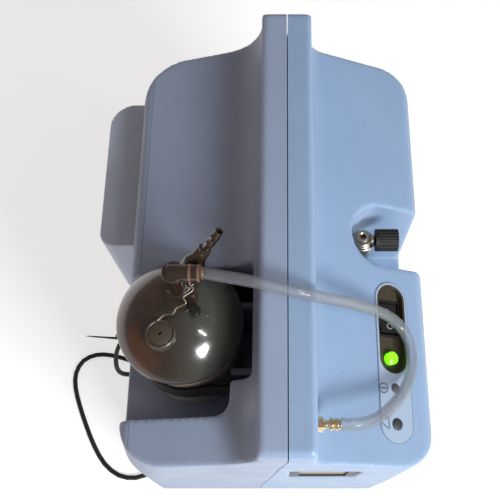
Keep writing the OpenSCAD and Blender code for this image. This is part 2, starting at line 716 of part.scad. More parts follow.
module power_cord() color([0.06, 0.06, 0.06]) {
    swept_tube(smooth(cord_route), cord_r, 8);
    swept_tube(smooth(plug_route), cord_r, 8);
}
module cord_coil() color([0.06, 0.06, 0.06]) translate([coil_at.x, coil_at.y, 0])
    rotate_extrude($fn = 64) translate([coil_mid_r - 2 * cord_r, 0])
        square([4 * cord_r, 2 * cord_r * coil_layers]);

plug_at = [222, 62, 10];
plug_yaw = 120;
module plug_body() color([0.07, 0.07, 0.07]) translate(plug_at) rotate([0, 0, plug_yaw]) {
    rotate([0, 90, 0]) cylinder(r1 = 4.5, r2 = 6.5, h = 16);
    translate([16, -11, -9]) cube([20, 22, 18]);
    translate([36, -13, -9.5]) cube([5, 26, 19]);
}
module plug_pins() color([0.80, 0.78, 0.72]) translate(plug_at) rotate([0, 0, plug_yaw])
    for (y = [-6.4, 6.4]) translate([41, y - 3, -0.8]) cube([17, 6, 1.6]);

// ---- Casters --------------------------------------------------------------

axle_r = 3;
axle_clearance = 0.06;
wheel_w = 18;
module caster_fork(x, y) color([0.62, 0.62, 0.62]) translate([x, y, 0]) {
    translate([0, 0, 50]) cylinder(r = stem_r, h = stem_top_z - 50);
    translate([0, 0, 47]) cylinder(r = 13, h = 3.2);
    for (side = [-1, 1]) hull() {
        translate([side * 11.5 - 1, -11, 46]) cube([2, 22, 2]);
        translate([side * 11.5 - 1, caster_trail, wheel_r]) rotate([0, 90, 0])
            cylinder(r = 6, h = 2, $fn = hull_fn);
    }
    translate([-12.5, -13, 45.5]) cube([25, 26, 2.5]);
    translate([-13.5, caster_trail, wheel_r]) rotate([0, 90, 0]) cylinder(r = axle_r, h = 27);
}
module caster_wheel(x, y) color([0.16, 0.16, 0.17])
    translate([x, y + caster_trail, wheel_r]) rotate([0, 90, 0]) difference() {
        rotate_extrude() polygon([[0, -wheel_w / 2], [11, -wheel_w / 2], [11, -wheel_w / 2 + 2],
                                  [17, -wheel_w / 2 + 2], [19, -wheel_w / 2],
                                  [21, -wheel_w / 2 + 1], [wheel_r, -wheel_w / 2 + 4],
                                  [wheel_r, wheel_w / 2 - 4], [21, wheel_w / 2 - 1],
                                  [19, wheel_w / 2], [17, wheel_w / 2 - 2],
                                  [11, wheel_w / 2 - 2], [11, wheel_w / 2], [0, wheel_w / 2]]);
        cylinder(r = axle_r + axle_clearance, h = 40, center = true);
    }
module caster_fork_fl() caster_fork(-caster_x, caster_front_y);
module caster_fork_fr() caster_fork(caster_x, caster_front_y);
module caster_fork_rl() caster_fork(-caster_x, caster_rear_y);
module caster_fork_rr() caster_fork(caster_x, caster_rear_y);
module caster_wheel_fl() caster_wheel(-caster_x, caster_front_y);
module caster_wheel_fr() caster_wheel(caster_x, caster_front_y);
module caster_wheel_rl() caster_wheel(-caster_x, caster_rear_y);
module caster_wheel_rr() caster_wheel(caster_x, caster_rear_y);

// ---- Nodes ----------------------------------------------------------------

front_shell();
rear_shell();
base_pan();
rear_cover();
base_screws();
filter_frame();
filter_foam();
control_plate();
switch_well();
switch_housing();
rocker();
power_lamp();
reset_button();
mute_button();
flowmeter_tube();
flowmeter_head();
flowmeter_float();
flowmeter_knob();
outlet_fitting();
gas_tube();
jar();
jar_lid();
clamp_ring();
valve_block();
inlet_nipple();
outlet_spigot();
relief_valve();
wing_lever();
wire_clip();
dip_tube();
diffuser();
jar_strap();
strap_tail();
compressor_body();
compressor_heads();
compressor_mounts();
fan_rotor();
fan_shroud();
sieve_bed_front();
sieve_bed_middle();
product_tank();
valve_manifold();
circuit_board();
cooling_coil();
cord_gland();
power_cord();
cord_coil();
plug_body();
plug_pins();
caster_fork_fl();
caster_fork_fr();
caster_fork_rl();
caster_fork_rr();
caster_wheel_fl();
caster_wheel_fr();
caster_wheel_rl();
caster_wheel_rr();
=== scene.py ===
"""Looks of a stationary oxygen concentrator with a strapped bottle in its rear bay.

It feeds a veterinary anaesthesia circuit. Sizes below are millimetres unless a name says
otherwise; mm() turns them into the frame's metres.
"""

import math
import random

import bmesh
import bpy
from mathutils import Matrix, Vector


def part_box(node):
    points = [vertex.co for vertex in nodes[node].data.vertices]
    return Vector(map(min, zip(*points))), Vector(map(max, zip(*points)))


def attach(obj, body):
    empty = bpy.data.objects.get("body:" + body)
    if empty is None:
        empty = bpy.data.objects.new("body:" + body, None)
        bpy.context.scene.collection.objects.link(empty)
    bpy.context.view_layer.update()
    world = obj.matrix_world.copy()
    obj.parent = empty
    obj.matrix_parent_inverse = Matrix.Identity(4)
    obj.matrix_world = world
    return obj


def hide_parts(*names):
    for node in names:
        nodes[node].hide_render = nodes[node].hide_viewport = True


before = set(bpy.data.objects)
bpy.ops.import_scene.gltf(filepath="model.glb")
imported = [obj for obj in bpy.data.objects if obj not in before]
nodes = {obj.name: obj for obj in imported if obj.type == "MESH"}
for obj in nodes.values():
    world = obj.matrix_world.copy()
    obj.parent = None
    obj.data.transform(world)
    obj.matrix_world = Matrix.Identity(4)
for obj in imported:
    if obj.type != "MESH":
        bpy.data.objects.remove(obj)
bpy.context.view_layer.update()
ROOT = "machine"
random.seed(7)


def mm(*values):
    return tuple(v * 0.001 for v in values)


# ---- Camera ----------------------------------------------------------------

FRAME_PIXELS = 500
OPTICAL_AXIS = 283


def make_camera():
    """Above the near side, looking down across the body."""
    data = bpy.data.cameras.new("camera")
    data.lens = 52.8
    data.sensor_width = 36
    data.shift_x = (FRAME_PIXELS / 2 - OPTICAL_AXIS) / FRAME_PIXELS
    camera = bpy.data.objects.new("camera", data)
    right, up = Vector((0, -1, 0)), Vector((0.9317, 0, 0.3633))
    back = right.cross(up)
    camera.matrix_world = Matrix.Translation(mm(-225.7, -24.5, 1022)) @ Matrix(
        (right, up, back)).transposed().to_4x4()
    bpy.context.scene.collection.objects.link(camera)
    bpy.context.scene.camera = camera


# ---- Materials -------------------------------------------------------------

def link(tree, a, b):
    tree.links.new(a, b)


def mix_colours(tree, factor, a, b, blend="MIX"):
    """A colour mix node; factor, a and b are sockets or plain values."""
    node = tree.nodes.new("ShaderNodeMix")
    node.data_type = "RGBA"
    node.blend_type = blend
    for socket, value in ((node.inputs[0], factor), (node.inputs[6], a), (node.inputs[7], b)):
        if isinstance(value, bpy.types.NodeSocket):
            link(tree, value, socket)
        else:
            socket.default_value = value
    return node.outputs[2]


def noise(tree, scale, detail=3.0, roughness=0.55, stretch=None):
    """Noise in the object's own metres, which don't move with the camera."""
    place = tree.nodes.new("ShaderNodeTexCoord")
    node = tree.nodes.new("ShaderNodeTexNoise")
    node.inputs["Scale"].default_value = scale
    node.inputs["Detail"].default_value = detail
    node.inputs["Roughness"].default_value = roughness
    if stretch:
        mapping = tree.nodes.new("ShaderNodeMapping")
        mapping.inputs["Scale"].default_value = stretch
        link(tree, place.outputs["Object"], mapping.inputs["Vector"])
        link(tree, mapping.outputs["Vector"], node.inputs["Vector"])
    else:
        link(tree, place.outputs["Object"], node.inputs["Vector"])
    return node.outputs["Fac"]


def remap(tree, value, low, high, to_low, to_high):
    node = tree.nodes.new("ShaderNodeMapRange")
    node.clamp = True
    link(tree, value, node.inputs["Value"])
    for name, number in (("From Min", low), ("From Max", high), ("To Min", to_low),
                         ("To Max", to_high)):
        node.inputs[name].default_value = number
    return node.outputs["Result"]


def shade(colour, k):
    return tuple(min(c * k, 1.0) for c in colour[:3]) + (1.0,)


def material(name, colour, rough=0.45, vary=0.08, grain=1400.0, depth=0.00006, metal=0.0,
             specular=0.5, coat=0.0, sheen=0.0, edge_wear_and_highlight=0.0, crease_dirt_and_shade=0.0, specks=0.0, edge=0.0,
             rough_vary=0.10, stretch=None, dirt_and_shade_colour=(0.10, 0.075, 0.05, 1.0)):
    """Procedural material: cloudy colour, fine grain, uneven gloss, worn edges lightened with a
    painted edge highlight, and creases darkened with dirt and painted shade.
    """
    mat = bpy.data.materials.new(name)
    mat.use_nodes = True
    tree = mat.node_tree
    bsdf = tree.nodes["Principled BSDF"]
    bsdf.inputs["Metallic"].default_value = metal
    bsdf.inputs["Specular IOR Level"].default_value = specular
    bsdf.inputs["Coat Weight"].default_value = coat
    bsdf.inputs["Coat Roughness"].default_value = 0.08
    bsdf.inputs["Sheen Weight"].default_value = sheen
    cloud = noise(tree, 14.0, 4.0)
    out = mix_colours(tree, remap(tree, cloud, 0.3, 0.7, 0, 1),
                      shade(colour, 1 - vary), shade(colour, 1 + vary))
    fine = noise(tree, 260.0, 2.0, stretch=stretch)
    out = mix_colours(tree, remap(tree, fine, 0.35, 0.75, 0, vary), out, shade(colour, 0.7))
    if specks:
        dots = noise(tree, 420.0, 1.0)
        out = mix_colours(tree, remap(tree, dots, 0.735, 0.765, 0, specks), out, dirt_and_shade_colour)
    # Pointiness mask: convex edges get lighter (wear plus a painted highlight), concave creases get
    # darker (dirt plus painted shade).
    if edge_wear_and_highlight or crease_dirt_and_shade:
        bends = tree.nodes.new("ShaderNodeNewGeometry").outputs["Pointiness"]
        if edge_wear_and_highlight:
            out = mix_colours(tree, remap(tree, bends, 0.51, 0.56, 0, edge_wear_and_highlight), out,
                              shade(colour, 1.5))
        if crease_dirt_and_shade:
            out = mix_colours(tree, remap(tree, bends, 0.49, 0.44, 0, crease_dirt_and_shade), out, dirt_and_shade_colour)
    link(tree, out, bsdf.inputs["Base Color"])
    smears = noise(tree, 38.0, 5.0, 0.65)
    link(tree, remap(tree, smears, 0.3, 0.7, max(rough - rough_vary, 0.02),
                     min(rough + rough_vary, 1.0)), bsdf.inputs["Roughness"])
    bump = tree.nodes.new("ShaderNodeBump")
    bump.inputs["Strength"].default_value = 1.0
    bump.inputs["Distance"].default_value = depth
    link(tree, noise(tree, grain, 2.0, stretch=stretch), bump.inputs["Height"])
    if edge:
        rounded_edge = tree.nodes.new("ShaderNodeBevel")
        rounded_edge.samples = 4
        rounded_edge.inputs["Radius"].default_value = edge
        link(tree, rounded_edge.outputs["Normal"], bump.inputs["Normal"])
    link(tree, bump.outputs["Normal"], bsdf.inputs["Normal"])
    return mat


def clear_material(name, middle, rim, alpha_middle, alpha_rim, rough=0.12):
    """Clear plastic: see-through in the middle and denser where the wall is seen edge on."""
    mat = material(name, middle, rough=rough, vary=0.04, depth=0.00002, coat=0.6,
                   rough_vary=0.04)
    tree = mat.node_tree
    bsdf = tree.nodes["Principled BSDF"]
    facing = tree.nodes.new("ShaderNodeLayerWeight")
    facing.inputs["Blend"].default_value = 0.45
    inside = bsdf.inputs["Base Color"].links[0].from_socket
    colour = mix_colours(tree, facing.outputs["Facing"], inside, rim)
    link(tree, colour, bsdf.inputs["Base Color"])
    link(tree, remap(tree, facing.outputs["Facing"], 0.1, 0.95, alpha_middle, alpha_rim),
         bsdf.inputs["Alpha"])
    return mat


BLUE = (0.270, 0.385, 0.560)
REAR_BLUE = (0.285, 0.355, 0.490)
shell_front = material("shell_front_plastic", BLUE, rough=0.42, vary=0.035, depth=0.00004,
                       edge_wear_and_highlight=0.25, crease_dirt_and_shade=0.35, specks=0.35)
shell_rear = material("shell_rear_plastic", REAR_BLUE, rough=0.46, vary=0.035, depth=0.00004,
                      edge_wear_and_highlight=0.25, crease_dirt_and_shade=0.40, specks=0.35)
# Painted light: the cover's colour is set lighter than the shells' to stand in for the light that
# falls on it from the back.
cover_plastic = material("cover_plastic", (0.52, 0.60, 0.72), rough=0.5, vary=0.04,
                         edge_wear_and_highlight=0.25, crease_dirt_and_shade=0.3, specks=0.5)
panel_film = material("panel_film", (0.36, 0.45, 0.58), rough=0.36, vary=0.03, grain=2600,
                      depth=0.00002)
outline_ink = material("outline_ink", (0.17, 0.20, 0.26), rough=0.5)
icon_ink = material("icon_ink", (0.045, 0.05, 0.065), rough=0.5)
well_plastic = material("well_plastic", (0.055, 0.042, 0.025), rough=0.42, vary=0.12, edge=0.0005)
black_gloss = material("black_gloss", (0.010, 0.009, 0.008), rough=0.25, vary=0.2, coat=0.4,
                       edge=0.0005)
black_plastic = material("black_plastic", (0.008, 0.007, 0.006), rough=0.52, vary=0.2,
                         specks=0.2, edge=0.0004)
mark_white = material("mark_white", (0.55, 0.55, 0.52), rough=0.5)
button_grey = material("button_grey", (0.085, 0.080, 0.076), rough=0.4, vary=0.15, edge=0.0004)
button_dark = material("button_dark", (0.050, 0.046, 0.042), rough=0.35, vary=0.15, edge=0.0004)
smoke_brown = material("smoke_brown", (0.028, 0.017, 0.009), rough=0.22, vary=0.35, coat=0.7,
                       depth=0.00008)
relief_plastic = material("relief_plastic", (0.060, 0.045, 0.030), rough=0.52, vary=0.3,
                          coat=0.1, depth=0.0001)
nickel = material("nickel", (0.50, 0.46, 0.38), rough=0.30, metal=1.0, vary=0.12, grain=700,
                  edge=0.0004, crease_dirt_and_shade=0.3)
dull_wire = material("dull_wire", (0.22, 0.19, 0.15), rough=0.42, metal=0.8, vary=0.2)
brass = material("brass_dull", (0.80, 0.66, 0.42), rough=0.24, metal=1.0, vary=0.10, grain=700,
                 edge=0.0003)
copper = material("copper_dull", (0.36, 0.22, 0.15), rough=0.34, metal=0.7, vary=0.25)
steel = material("steel", (0.55, 0.55, 0.54), rough=0.32, metal=1.0, vary=0.10, grain=900,
                 edge=0.0003)
cream = material("bottle_cream", (0.62, 0.55, 0.42), rough=0.34, vary=0.12, coat=0.4,
                 specks=0.6, dirt_and_shade_colour=(0.16, 0.09, 0.04, 1.0))
pale_ring = material("pale_ring", (0.42, 0.37, 0.28), rough=0.3, vary=0.2, coat=0.3)
webbing = material("webbing", (0.007, 0.007, 0.007), rough=0.92, vary=0.5, grain=500,
                   depth=0.0009, sheen=0.08, rough_vary=0.06)
rubber = material("cord_rubber", (0.012, 0.011, 0.010), rough=0.5, vary=0.25, depth=0.00005)
tyre = material("tyre", (0.035, 0.035, 0.037), rough=0.7, vary=0.2, depth=0.0002, edge=0.0006)
pan_plastic = material("pan_plastic", (0.022, 0.022, 0.024), rough=0.55, vary=0.15, edge=0.0006)
foam = material("foam", (0.38, 0.34, 0.27), rough=0.95, vary=0.25, grain=600, depth=0.0008)
grey_plastic = material("grey_plastic", (0.05, 0.052, 0.056), rough=0.5, vary=0.12, edge=0.0005)
white_plastic = material("white_plastic", (0.55, 0.55, 0.53), rough=0.4, vary=0.05)
cast_alloy = material("cast_alloy", (0.42, 0.42, 0.43), rough=0.5, metal=0.9, vary=0.1,
                      grain=500, depth=0.0003)
board_green = material("board_green", (0.015, 0.09, 0.04), rough=0.35, vary=0.2)
red_float = material("red_float", (0.45, 0.03, 0.02), rough=0.25, coat=0.5)
tube_clear = clear_material("tube_clear", (0.38, 0.42, 0.46), (0.13, 0.11, 0.09, 1.0),
                            0.16, 0.62)
meter_clear = clear_material("meter_clear", (0.45, 0.50, 0.52), (0.20, 0.22, 0.22, 1.0),
                             0.25, 0.8)


def make_lamp_material():
    mat = material("lamp_lens", (0.20, 0.75, 0.02), rough=0.25, coat=0.5)
    bsdf = mat.node_tree.nodes["Principled BSDF"]
    bsdf.inputs["Emission Color"].default_value = (0.16, 1.0, 0.0, 1.0)
    bsdf.inputs["Emission Strength"].default_value = 1.6
    return mat


def make_lid_material():
    """Smoked plastic: red-brown towards the back, and a grey-green painted reflection of the bright
    surroundings towards the front.
    """
    mat = material("lid_smoke", (0.020, 0.016, 0.011), rough=0.20, vary=0.3, coat=0.9,
                   depth=0.00003, rough_vary=0.06)
    tree = mat.node_tree
    bsdf = tree.nodes["Principled BSDF"]
    place = tree.nodes.new("ShaderNodeTexCoord")
    split = tree.nodes.new("ShaderNodeSeparateXYZ")
    link(tree, place.outputs["Object"], split.inputs["Vector"])
    inside = bsdf.inputs["Base Color"].links[0].from_socket
    # Painted reflection: a grey-green sheen mixed into the front half of the dome.
    front = remap(tree, split.outputs["Y"], 0.060, 0.035, 0, 1)
    painted_sheen = mix_colours(tree, front, inside, (0.050, 0.050, 0.040, 1.0))
    patches = noise(tree, 45.0, 5.0, 0.6)
    back = remap(tree, split.outputs["Y"], 0.050, 0.090, 0, 1)
    strength = tree.nodes.new("ShaderNodeMath")
    strength.operation = "MULTIPLY"
    link(tree, back, strength.inputs[0])
    link(tree, remap(tree, patches, 0.42, 0.62, 0, 1), strength.inputs[1])
    out = mix_colours(tree, strength.outputs[0], painted_sheen, (0.085, 0.028, 0.010, 1.0))
    link(tree, out, bsdf.inputs["Base Color"])
    return mat


# ---- Mesh helpers ----------------------------------------------------------

def add_object(name, mesh, mat=None):
    obj = bpy.data.objects.new(name, mesh)
    bpy.context.scene.collection.objects.link(obj)
    if mat:
        mesh.materials.append(mat)
    return obj


def finish_bmesh(name, bm, mat=None, smooth=True):
    bmesh.ops.recalc_face_normals(bm, faces=bm.faces)
    mesh = bpy.data.meshes.new(name)
    bm.to_mesh(mesh)
    bm.free()
    if smooth:
        smooth_by_angle(mesh)
    return add_object(name, mesh, mat)


def smooth_by_angle(mesh, degrees=38):
    mesh.shade_smooth()
    mesh.set_sharp_from_angle(angle=math.radians(degrees))


def corner_arc(a, b, c, r, n):
    """Points of the arc of radius r that rounds the corner b of the path a, b, c."""
    a, b, c = Vector(a), Vector(b), Vector(c)
    u, w = (a - b).normalized(), (c - b).normalized()
    half = u.angle(w) / 2
    centre = b + (u + w).normalized() * (r / math.sin(half))
    first, last = b + u * (r / math.tan(half)) - centre, b + w * (r / math.tan(half)) - centre
    start = math.atan2(first.y, first.x)
    sweep = (math.atan2(last.y, last.x) - start + math.pi) % (2 * math.pi) - math.pi
    return [(centre.x + r * math.cos(start + sweep * i / n),
             centre.y + r * math.sin(start + sweep * i / n)) for i in range(n + 1)]


def rounded(corners, n=8):
    """Outline from corners (x, y, radius)."""
    points = []
    for i, (x, y, r) in enumerate(corners):
        if r:
            before, after = corners[i - 1][:2], corners[(i + 1) % len(corners)][:2]
            points += corner_arc(before, (x, y), after, r, n)
        else:
            points.append((x, y))
    return points


def prism(name, outline, axis, low, high):
    """Closed prism of a flat outline, drawn along axis x, y or z from low to high."""
    order = {"x": lambda a, b, c: mm(c, a, b), "y": lambda a, b, c: mm(a, c, b),
             "z": lambda a, b, c: mm(a, b, c)}[axis]
    bm = bmesh.new()
    ends = [[bm.verts.new(order(a, b, level)) for a, b in outline] for level in (low, high)]
    bm.faces.new(ends[0])
    bm.faces.new(ends[1])
    for i in range(len(outline)):
        k = (i + 1) % len(outline)
        bm.faces.new((ends[0][i], ends[0][k], ends[1][k], ends[1][i]))
    return finish_bmesh(name, bm, smooth=False)


def block(name, low, high):
    return prism(name, [(low[0], low[1]), (high[0], low[1]), (high[0], high[1]),
                        (low[0], high[1])], "z", low[2], high[2])


def circle(x, y, r, n=48):
    return [(x + r * math.cos(2 * math.pi * i / n), y + r * math.sin(2 * math.pi * i / n))
            for i in range(n)]


def apply_modifiers(obj):
    graph = bpy.context.evaluated_depsgraph_get()
    mesh = bpy.data.meshes.new_from_object(obj.evaluated_get(graph))
    obj.modifiers.clear()
    old = obj.data
    obj.data = mesh
    bpy.data.meshes.remove(old)


def combine(obj, tool, operation, solver="EXACT"):
    """Boolean of obj with tool, which is used up."""
    modifier = obj.modifiers.new("combine", "BOOLEAN")
    modifier.operation = operation
    modifier.object = tool
    modifier.solver = solver
    apply_modifiers(obj)
    bpy.data.objects.remove(tool)


def mould(obj, voxel, rounds):
    """Gives the block the soft edges of a moulding."""
    remesh = obj.modifiers.new("remesh", "REMESH")
    remesh.mode = "VOXEL"
    remesh.voxel_size = voxel * 0.001
    soften = obj.modifiers.new("soften", "SMOOTH")
    soften.factor = 0.5
    soften.iterations = rounds
    apply_modifiers(obj)


def place_on(obj, matrix):
    obj.data.transform(matrix)
    obj.data.update()


def lathe(name, profile, centre, mat, sides=96, axis=(0, 0, 1), ride=ROOT):
    """Turned piece from (radius, height) points round an axis through centre."""
    bm = bmesh.new()
    rings = []
    for r, z in profile:
        if r < 1e-6:
            rings.append([bm.verts.new(mm(0, 0, z))])
        else:
            rings.append([bm.verts.new(mm(x, y, z)) for x, y in circle(0, 0, r, sides)])
    for a, b in zip(rings, rings[1:]):
        for i in range(sides):
            k = (i + 1) % sides
            corners = [a[i % len(a)], a[k % len(a)], b[k % len(b)], b[i % len(b)]]
            unique = list(dict.fromkeys(corners))
            if len(unique) > 2:
                bm.faces.new(unique)
    for ring in (rings[0], rings[-1]):
        if len(ring) > 1:
            bm.faces.new(ring)
    turn = Vector((0, 0, 1)).rotation_difference(Vector(axis)).to_matrix().to_4x4()
    bmesh.ops.transform(bm, matrix=Matrix.Translation(mm(*centre)) @ turn, verts=bm.verts)
    obj = finish_bmesh(name, bm, mat)
    if ride:
        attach(obj, ride)
    return obj


def smooth_path(points):
    """Adds the middle point of each span of a given route."""
    out = []
    last = len(points) - 1
    for i in range(last):
        a, b, c, d = (Vector(points[k]) for k in (max(i - 1, 0), i, i + 1, min(i + 2, last)))
        out += [b, (9 * (b + c) - a - d) / 16]
    return out + [Vector(points[last])]


def ring_frames(points):
    """For each point, two directions square to the path that don't twist along it."""
    frames = []
    ahead = (points[1] - points[0]).normalized()
    across = ahead.cross(Vector((0, 0, 1))).normalized()
    for i, _ in enumerate(points):
        ahead = (points[min(i + 1, len(points) - 1)] - points[max(i - 1, 0)]).normalized()
        across = (across - ahead * across.dot(ahead)).normalized()
        frames.append((across, across.cross(ahead)))
    return frames


def tube(name, points, r, mat, sides=20, bore=None):
    """Round tube along points, in millimetres, solid or with a bore."""
    bm = bmesh.new()
    skins = []
    for radius in [r] + ([bore] if bore else []):
        rings = []
        for p, (u, w) in zip(points, ring_frames(points)):
            ring = []
            for k in range(sides):
                a = 2 * math.pi * k / sides
                ring.append(bm.verts.new(mm(*(p + radius * (math.cos(a) * u + math.sin(a) * w)))))
            rings.append(ring)
        for a, b in zip(rings, rings[1:]):
            for k in range(sides):
                j = (k + 1) % sides
                bm.faces.new((a[k], a[j], b[j], b[k]))
        skins.append(rings)
    for end in (0, -1):
        if bore:
            outer, inner = skins[0][end], skins[1][end]
            for k in range(sides):
                j = (k + 1) % sides
                bm.faces.new((outer[k], outer[j], inner[j], inner[k]))
        else:
            bm.faces.new(skins[0][end])
    obj = finish_bmesh(name, bm, mat)
    obj.data.shade_smooth()
    return obj


# ---- Cords -----------------------------------------------------------------

GAS_ROUTE = [(-153, -65, 500), (-153, -74, 499.5), (-151.5, -82.5, 497), (-148, -91, 491.5),
             (-142, -99, 484), (-134.5, -107, 475.5), (-125.5, -114.5, 467.5),
             (-115, -120.5, 460.5), (-104, -124.5, 455.5), (-93, -126, 453),
             (-82.5, -124.5, 453.5), (-73.5, -119.5, 457.5), (-67.5, -112, 464),
             (-64.5, -102.5, 472.5), (-64, -92.5, 482.5), (-65, -82.5, 493.5),
             (-66, -72, 506.5), (-68, -61, 519.5), (-69.5, -50.5, 531), (-69, -38, 538.5),
             (-66.5, -23, 541.5), (-62.5, -7, 541.5), (-58, 11, 538.5), (-53, 30.5, 534)]
GAS_R = 4.5
GAS_BORE = 3.1
CORD_ROUTE = [(-30, 161, 76), (-30, 171, 75.5), (-29, 181.5, 72), (-24.5, 190.5, 64.5),
              (-15, 197.5, 54), (-1, 202, 42.5), (13, 203.5, 31.5), (28, 200.5, 21),
              (42, 190, 12), (51, 174, 5.5), (52.5, 156, 3.2), (43.5, 140, 3.1),
              (26.5, 131.5, 3.1), (8.5, 135.5, 3.1), (-2, 151, 3.1), (-1, 172, 3.1),
              (6, 195, 3.1), (12, 218, 3.1), (12.5, 239, 3.1), (4, 256.5, 3.1),
              (-13.5, 265, 3.1), (-34, 263.5, 3.1), (-58, 255.5, 3.1), (-85, 244, 3.1),
              (-113, 230, 3.1), (-136, 214, 3.1), (-150.5, 194, 3.1), (-153.5, 171, 3.1),
              (-144.5, 150, 3.1), (-126, 137, 3.1), (-100, 125, 3.1), (-66, 106, 3.1),
              (-30, 82, 3.1), (10, 58, 3.1), (60, 36, 3.1), (110, 18, 3.1), (150, 1, 3.1),
              (190, -18, 3.1), (222, -32, 3.1)]
PLUG_ROUTE = [(247, 39.5, 19), (233, 48, 15), (222, 62, 10)]
CORD_R = 3.1
COIL_AT = (254, 0)
COIL_MID_R = 36
COIL_STEP = 15
PLUG_YAW = 120


def coil_points():
    """Turns two wide and three high, wound outwards in, in outwards, outwards in."""
    start, end = -100, 72 + 5 * 360
    inner, outer = COIL_MID_R - CORD_R, COIL_MID_R + CORD_R
    ring_of_turn = [outer, inner, inner, outer, outer, inner]
    level_of_turn = [0, 0, 1, 1, 2, 2]
    points = []
    for angle in range(start, end + 1, COIL_STEP):
        turns = (angle - start) / 360
        k = min(int(turns), 5)
        step = min(k + 1, 5)
        t = max(0.0, (turns - k - 0.75) / 0.25)
        ease = t * t * (3 - 2 * t)
        r = ring_of_turn[k] + (ring_of_turn[step] - ring_of_turn[k]) * ease
        z = CORD_R * (1 + 2 * (level_of_turn[k] + (level_of_turn[step] - level_of_turn[k]) * ease))
        a = math.radians(angle)
        points.append((COIL_AT[0] + r * math.cos(a), COIL_AT[1] + r * math.sin(a), z))
    return points


def make_gas_tube():
    points = smooth_path(smooth_path(GAS_ROUTE))
    obj = tube("clear_tube", points, GAS_R, tube_clear, sides=28, bore=GAS_BORE)
    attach(obj, ROOT)
    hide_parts("gas_tube")


def make_power_cord():
    points = smooth_path(CORD_ROUTE + coil_points() + PLUG_ROUTE)
    obj = tube("mains_lead", points, CORD_R, rubber, sides=14)
    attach(obj, ROOT)
    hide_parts("power_cord", "cord_coil")


def make_plug():
    """Moulded plug with a ribbed neck, a gripping waist and a face flange."""
    stations = [(0, 4.6, 4.6), (4, 5.4, 5.4), (6, 4.9, 4.9), (9, 6.0, 6.0), (11, 5.5, 5.5),
                (14, 6.8, 6.6), (18, 9.5, 7.6), (24, 10.6, 8.4), (30, 9.8, 7.8), (35, 11.4, 8.8),
                (36.5, 12.6, 9.3), (40.5, 12.6, 9.3), (41, 12.0, 8.8)]
    sides = 40
    bm = bmesh.new()
    rings = []
    for x, half_y, half_z in stations:
        ring = []
        for k in range(sides):
            a = 2 * math.pi * k / sides
            power = 0.55 if x > 14 else 1.0
            cy = math.copysign(abs(math.cos(a)) ** power, math.cos(a))
            cz = math.copysign(abs(math.sin(a)) ** power, math.sin(a))
            ring.append(bm.verts.new(mm(x, half_y * cy, half_z * cz)))
        rings.append(ring)
    for a, b in zip(rings, rings[1:]):
        for k in range(sides):
            j = (k + 1) % sides
            bm.faces.new((a[k], a[j], b[j], b[k]))
    bm.faces.new(rings[0])
    bm.faces.new(rings[-1])
    turn = Matrix.Rotation(math.radians(PLUG_YAW), 4, "Z")
    bmesh.ops.transform(bm, matrix=Matrix.Translation(mm(*PLUG_ROUTE[-1])) @ turn,
                        verts=bm.verts)
    obj = finish_bmesh("moulded_plug", bm, rubber)
    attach(obj, ROOT)
    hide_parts("plug_body")
    return obj


def make_gland():
    """Strain relief: a collar on the wall and a ribbed boot that tapers to the lead."""
    profile = [(0, -10), (7.9, -10), (7.9, 0), (10.4, 0.2), (10.6, 1.6), (10.0, 3), (7.6, 3.4)]
    for i in range(7):
        z = 4.4 + 2.4 * i
        r = 7.4 - 0.5 * i
        profile += [(r, z), (r, z + 1.3), (r - 0.9, z + 1.6), (r - 0.9, z + 2.3)]
    profile += [(CORD_R + 0.5, 21.6), (CORD_R + 0.1, 22), (0, 22)]
    low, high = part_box("cord_gland")
    centre = [1000 * (low[0] + high[0]) / 2, 1000 * low[1] + 10, 1000 * (low[2] + high[2]) / 2]
    obj = lathe("strain_relief", profile, centre, rubber, sides=48, axis=(0, 1, 0))
    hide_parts("cord_gland")
    return obj


# ---- Body ------------------------------------------------------------------

HALF_W = 179
PANEL_TILT = math.radians(23.5)
PANEL_FOOT_Z = 438.5
RIDGE = (-48, -7, 528)
SHELF = (117, 354)
SHOULDER = (101, 451.5)
SEAM = [(-28, 620), (-28, 500), (-21, 442), (-2, 180), (8, 0)]
SEAM_GAP = 0.8
SKY = 620
PANEL_TOP_Z = PANEL_FOOT_Z + (142 + RIDGE[0]) * math.tan(PANEL_TILT)
SIDE_VIEW = [(-138, 50, 0), (138, 50, 0), (*SHELF, 0), (*SHOULDER, 14), (RIDGE[1], 484, 44),
             (RIDGE[1], RIDGE[2], 4), (RIDGE[0], RIDGE[2], 3), (RIDGE[0], PANEL_TOP_Z, 20),
             (-142, PANEL_FOOT_Z, 16)]
FRONT_VIEW = [(-HALF_W + 9, 50, 0), (HALF_W - 9, 50, 0), (HALF_W, 400, 0),
              (HALF_W, RIDGE[2], 5), (-HALF_W, RIDGE[2], 5), (-HALF_W, 400, 0)]
FRONT_PLAN = [(-HALF_W, -142, 30), (HALF_W, -142, 30), (HALF_W, 400, 0), (-HALF_W, 400, 0)]
REAR_PLAN = [(-HALF_W, -400, 0), (HALF_W, -400, 0), (HALF_W, 0, 36), (-HALF_W, 0, 36)]
JAR = (-73, 54)
BAY_CORNERS = [(-27, 200, 0), (-143, 200, 0), (-143, 15, 12), (-118, 15, 0), (-118, -2, 2),
               (-30, -2, 2), (-27, 27, 0)]
NOTCH = (9, -108.5, 27)
NOTCH_Z = 333
WINDOW = (-87, -30, 339, 422)


def panel_matrix(x):
    """Place of the control panel at x: X across, Y up the slope, Z outwards."""
    y = -111.6
    z = PANEL_FOOT_Z + (142 + y) * math.tan(PANEL_TILT)
    return Matrix.Translation(mm(x, y, z)) @ Matrix.Rotation(PANEL_TILT, 4, "X")


